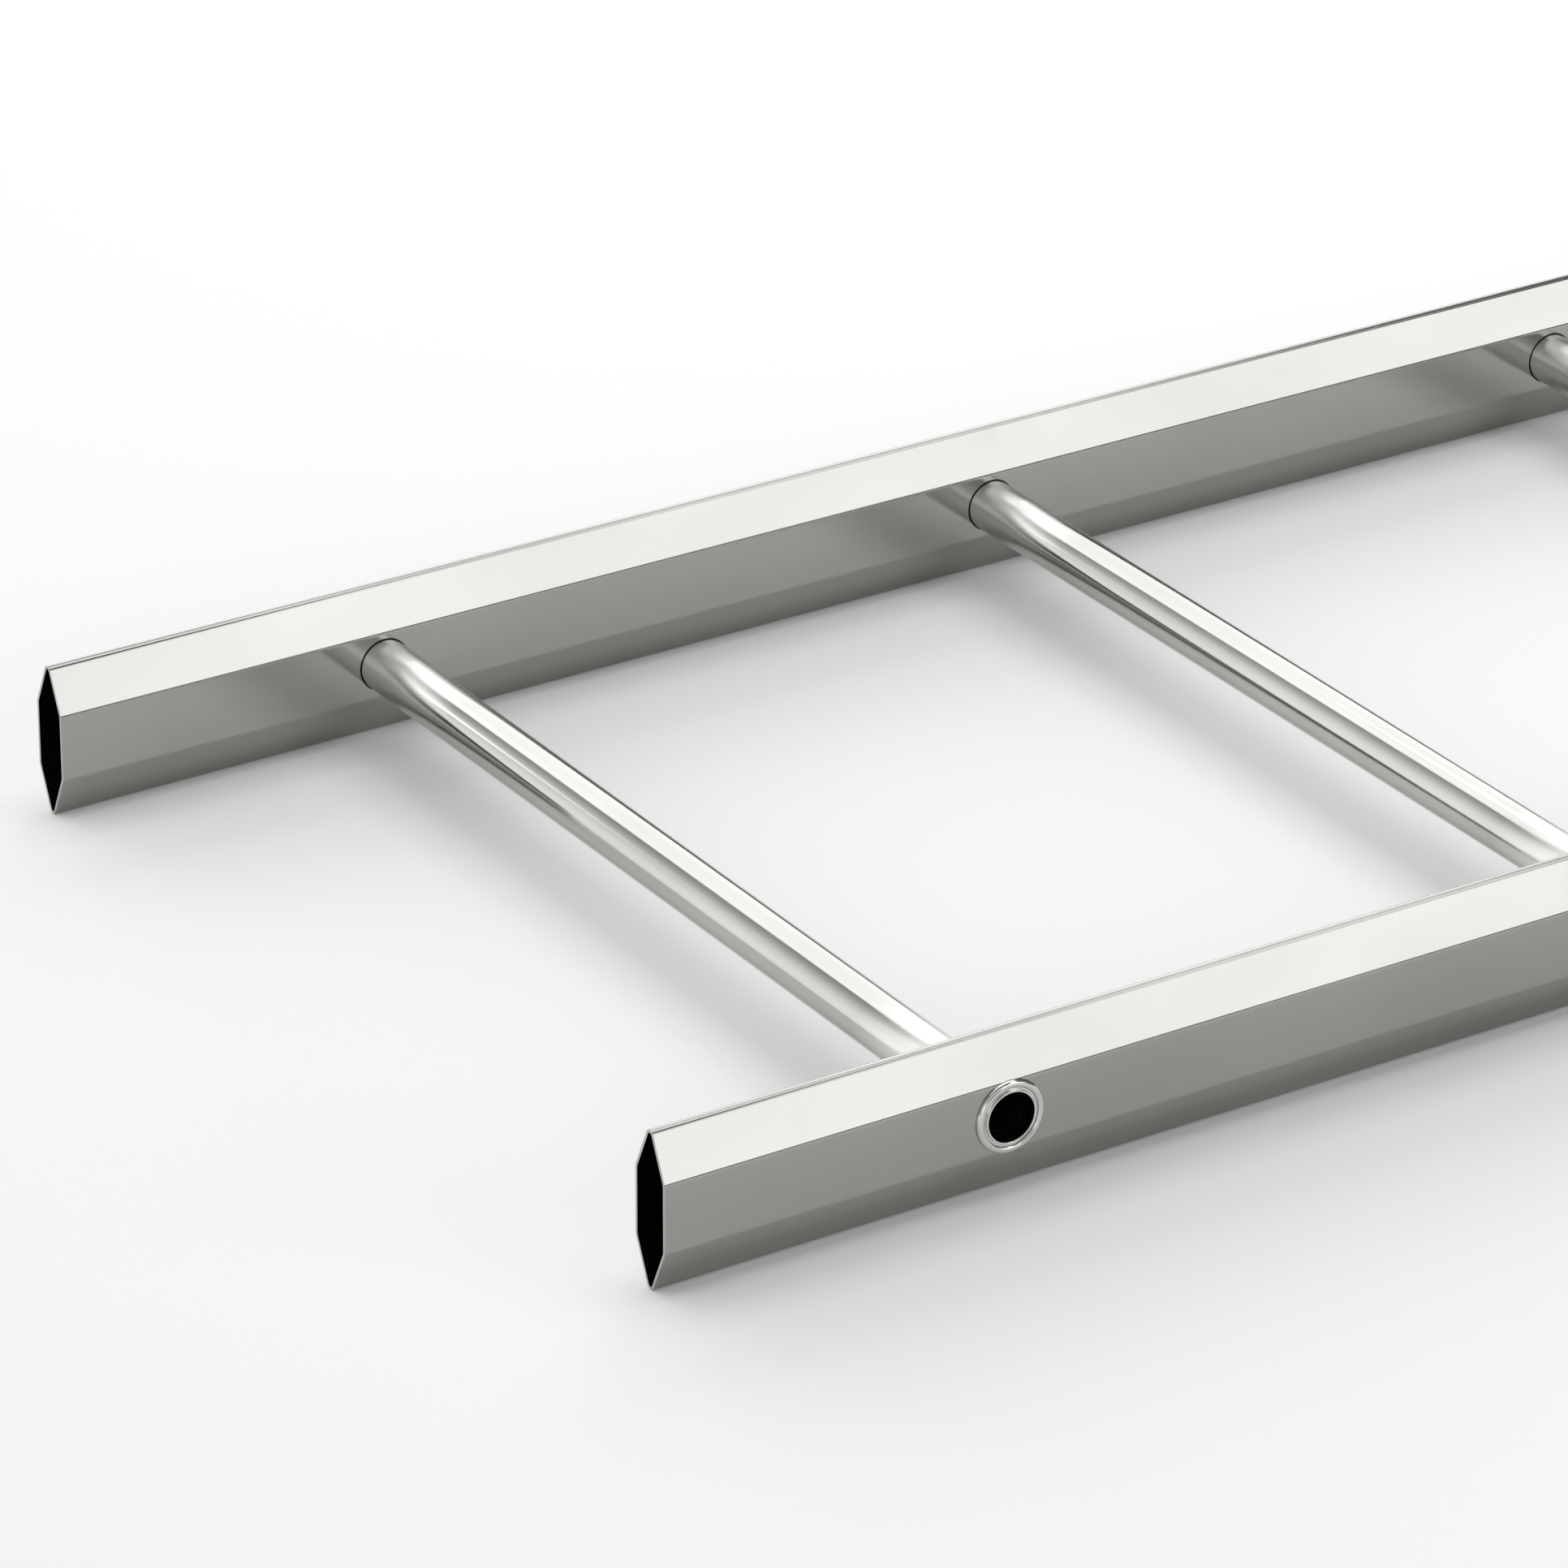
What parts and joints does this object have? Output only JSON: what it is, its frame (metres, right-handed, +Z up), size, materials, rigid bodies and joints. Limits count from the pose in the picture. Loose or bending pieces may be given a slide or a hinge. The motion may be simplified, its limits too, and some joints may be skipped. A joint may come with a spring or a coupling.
{
  "type": "cable ladder section",
  "caption": "Straight cable ladder section: two hollow hexagonal side rails joined by tubular rungs whose open ends are beaded over the outer webs.",
  "frame": {"origin": "under the middle of the section, on the level of the rails' lower tips", "axes": "+X along the rails, +Y across the ladder towards the far rail, +Z up"},
  "size_m": [3, 0.4028, 0.055],
  "materials": {
    "rail_steel": "bright mill-finished stainless strip, fine lines along the rail",
    "rung_steel": "bright drawn stainless tube, slightly smoother than the rails"
  },
  "bodies": {
    "root": {"side_rail_near": "rail_steel", "side_rail_far": "rail_steel", "rung_01": "rung_steel", "rung_02": "rung_steel", "rung_03": "rung_steel", "rung_04": "rung_steel", "rung_05": "rung_steel", "rung_06": "rung_steel", "rung_07": "rung_steel", "rung_08": "rung_steel", "rung_09": "rung_steel", "rung_10": "rung_steel", "rung_11": "rung_steel", "rung_12": "rung_steel"}
  },
  "joints": []
}
